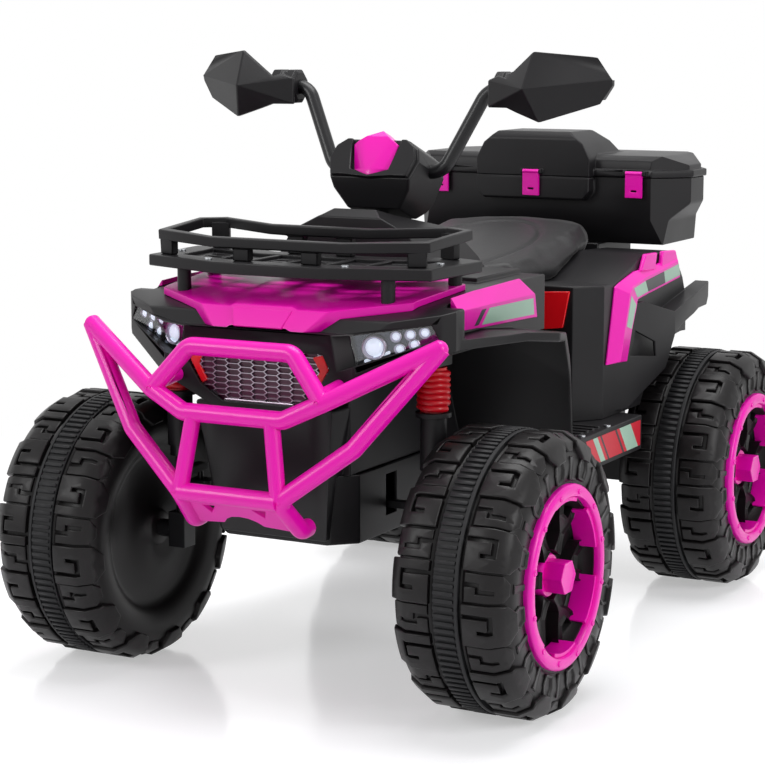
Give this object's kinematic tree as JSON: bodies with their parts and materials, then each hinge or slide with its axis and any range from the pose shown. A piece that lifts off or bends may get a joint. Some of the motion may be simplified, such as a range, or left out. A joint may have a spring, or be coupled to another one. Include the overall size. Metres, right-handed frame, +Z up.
{
  "type": "kids quad bike",
  "caption": "Battery quad bike for a child with blow-moulded wheels, bull bar, front rack, hand guards, sprung front struts and a lidded rear storage box.",
  "frame": {"origin": "on the floor under the middle of the vehicle's length and width", "axes": "+Z up, front towards -Y, rider's left towards +X"},
  "size_m": [0.76, 1.16, 0.818],
  "materials": {
    "black_plastic": "satin",
    "pink_plastic": "gloss",
    "red_plastic": "gloss",
    "tyre_plastic": "satin",
    "band_rubber": "matte",
    "grip_rubber": "matte",
    "black_steel": "satin",
    "bright_steel": "brushed",
    "red_steel": "gloss",
    "grille_chrome": "polished",
    "clear_lens": "polished",
    "seat_cover": "satin"
  },
  "bodies": {
    "chassis": {"underbody_pan": "black_plastic", "left_footboard": "black_plastic", "right_footboard": "black_plastic", "front_body": "black_plastic", "console_cover": "black_plastic", "rear_body": "black_plastic", "rack_tray": "black_plastic", "rack_rail": "black_plastic", "storage_box": "black_plastic", "battery_and_controller": "black_plastic", "gear_motors": "black_plastic", "front_frame": "black_plastic", "hood_panel": "pink_plastic", "left_fender_panel": "pink_plastic", "right_fender_panel": "pink_plastic", "left_rear_panel": "pink_plastic", "right_rear_panel": "pink_plastic", "bull_bar": "pink_plastic", "under_seat_panels": "red_plastic", "rear_axle": "bright_steel", "body_screws": "bright_steel", "left_spring": "red_steel", "right_spring": "red_steel", "front_grille": "grille_chrome", "headlight_reflectors": "grille_chrome", "left_headlight_lens": "clear_lens", "right_headlight_lens": "clear_lens", "seat": "seat_cover"},
    "handlebar": {"handlebar": "black_steel", "steering_column": "bright_steel", "headstock_cover": "black_plastic", "headstock_cap": "pink_plastic", "left_hand_guard": "black_plastic", "right_hand_guard": "black_plastic", "hand_grips": "grip_rubber"},
    "box_lid": {"box_lid": "black_plastic"},
    "left_latch": {"left_latch": "pink_plastic"},
    "centre_latch": {"centre_latch": "pink_plastic"},
    "right_latch": {"right_latch": "pink_plastic"},
    "foot_pedal": {"foot_pedal": "black_plastic"},
    "power_button": {"power_button": "black_plastic"},
    "direction_switch": {"direction_switch": "black_plastic"},
    "horn_button": {"horn_button": "black_plastic"},
    "left_strut": {"left_strut": "black_steel"},
    "right_strut": {"right_strut": "black_steel"},
    "left_knuckle": {"left_knuckle": "bright_steel"},
    "right_knuckle": {"right_knuckle": "bright_steel"},
    "tie_rod": {"tie_rod": "bright_steel"},
    "front_left_wheel": {"front_left_tyre": "tyre_plastic", "front_left_traction_band": "band_rubber", "front_left_wheel_trim": "pink_plastic"},
    "front_right_wheel": {"front_right_tyre": "tyre_plastic", "front_right_traction_band": "band_rubber", "front_right_wheel_trim": "pink_plastic"},
    "rear_left_wheel": {"rear_left_tyre": "tyre_plastic", "rear_left_traction_band": "band_rubber", "rear_left_wheel_trim": "pink_plastic"},
    "rear_right_wheel": {"rear_right_tyre": "tyre_plastic", "rear_right_traction_band": "band_rubber", "rear_right_wheel_trim": "pink_plastic"}
  },
  "joints": [
    {"name": "handlebar_steer", "type": "hinge", "parent": "chassis", "child": "handlebar", "pos_m": [0, -0.15, 0.65], "axis": [0, 0.342, 0.9397], "range_deg": [-28, 28]},
    {"name": "left_strut_slide", "type": "slide", "parent": "chassis", "child": "left_strut", "axis": [0, 0, 1], "range_m": [0, 0.015], "stiffness_N_per_m": 4000, "springref_m": -0.03, "deforming": ["left_spring"]},
    {"name": "left_knuckle_turn", "type": "hinge", "parent": "left_strut", "child": "left_knuckle", "pos_m": [0.19, -0.386, 0.3], "axis": [0, 0, 1], "range_deg": [-21, 21]},
    {"name": "front_left_spin", "type": "hinge", "parent": "left_knuckle", "child": "front_left_wheel", "pos_m": [0.295, -0.386, 0.18], "axis": [1, 0, 0], "continuous": true},
    {"name": "rear_left_spin", "type": "hinge", "parent": "chassis", "child": "rear_left_wheel", "pos_m": [0.272, 0.386, 0.18], "axis": [1, 0, 0], "continuous": true},
    {"name": "right_strut_slide", "type": "slide", "parent": "chassis", "child": "right_strut", "axis": [0, 0, 1], "range_m": [0, 0.015], "stiffness_N_per_m": 4000, "springref_m": -0.03, "deforming": ["right_spring"]},
    {"name": "right_knuckle_turn", "type": "hinge", "parent": "right_strut", "child": "right_knuckle", "pos_m": [-0.19, -0.386, 0.3], "axis": [0, 0, 1], "range_deg": [-21, 21]},
    {"name": "front_right_spin", "type": "hinge", "parent": "right_knuckle", "child": "front_right_wheel", "pos_m": [-0.295, -0.386, 0.18], "axis": [1, 0, 0], "continuous": true},
    {"name": "rear_right_spin", "type": "hinge", "parent": "chassis", "child": "rear_right_wheel", "pos_m": [-0.272, 0.386, 0.18], "axis": [1, 0, 0], "continuous": true},
    {"name": "tie_rod_slide", "type": "slide", "parent": "chassis", "child": "tie_rod", "axis": [1, 0, 0], "range_m": [-0.018, 0.018]},
    {"name": "box_lid_hinge", "type": "hinge", "parent": "chassis", "child": "box_lid", "pos_m": [0, 0.574, 0.622], "axis": [-1, 0, 0], "range_deg": [0, 95]},
    {"name": "left_latch_flip", "type": "hinge", "parent": "box_lid", "child": "left_latch", "pos_m": [0.165, 0.3374, 0.6295], "axis": [-1, 0, 0], "range_deg": [0, 95]},
    {"name": "centre_latch_flip", "type": "hinge", "parent": "box_lid", "child": "centre_latch", "pos_m": [0, 0.3214, 0.6295], "axis": [-1, 0, 0], "range_deg": [0, 95]},
    {"name": "right_latch_flip", "type": "hinge", "parent": "box_lid", "child": "right_latch", "pos_m": [-0.165, 0.3374, 0.6295], "axis": [-1, 0, 0], "range_deg": [0, 95]},
    {"name": "foot_pedal_tip", "type": "hinge", "parent": "chassis", "child": "foot_pedal", "pos_m": [-0.185, -0.01, 0.302], "axis": [1, 0, 0], "range_deg": [0, 9], "stiffness_Nm_per_rad": 4, "springref_deg": -11.46},
    {"name": "power_button_press", "type": "slide", "parent": "chassis", "child": "power_button", "axis": [0, -0.7809, -0.6247], "range_m": [0, 0.003], "stiffness_N_per_m": 400, "springref_m": -0.003},
    {"name": "direction_switch_tip", "type": "hinge", "parent": "chassis", "child": "direction_switch", "pos_m": [0.032, -0.108, 0.5515], "axis": [1, 0, 0], "range_deg": [-8, 8]},
    {"name": "horn_button_press", "type": "slide", "parent": "handlebar", "child": "horn_button", "axis": [0, -0.9397, 0.342], "range_m": [0, 0.0025], "stiffness_N_per_m": 400, "springref_m": -0.003}
  ],
  "couplings": [
    {"joint": "left_knuckle_turn", "follows": "handlebar_steer", "ratio": 0.71495},
    {"joint": "right_knuckle_turn", "follows": "handlebar_steer", "ratio": 0.71495},
    {"joint": "tie_rod_slide", "follows": "handlebar_steer", "m_per_rad": -0.033623}
  ]
}
